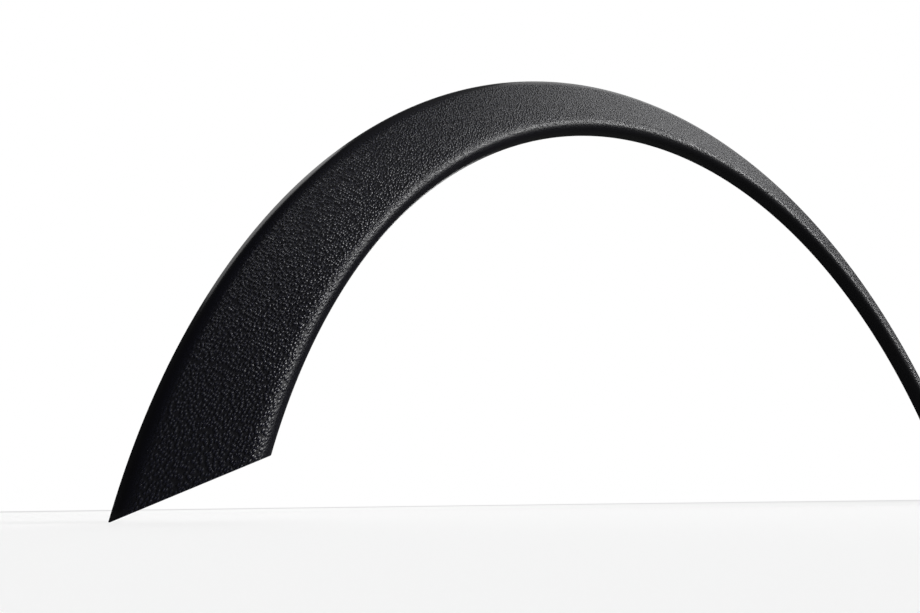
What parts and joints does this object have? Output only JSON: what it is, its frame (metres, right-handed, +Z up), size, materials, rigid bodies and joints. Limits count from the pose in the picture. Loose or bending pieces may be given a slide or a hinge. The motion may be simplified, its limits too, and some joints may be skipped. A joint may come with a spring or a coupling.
{
  "type": "wheel arch trim",
  "caption": "Half-round wheel arch trim: a hollow grained plastic moulding with a rounded rim, sloped face, rolled inner edge and return flange, clipped on around a wheel opening.",
  "frame": {"origin": "on the mounting plane at the crown of the arch, where the rim's foot lies on the panel", "axes": "+X along the span of the arch, +Y inboard through the mounting plane, +Z up"},
  "size_m": [0.8472, 0.02, 0.391],
  "materials": {
    "grained_plastic": "black, fine leather grain on the face, smooth satin rim and return flange"
  },
  "bodies": {
    "root": {"arch_trim": "grained_plastic"}
  },
  "joints": []
}
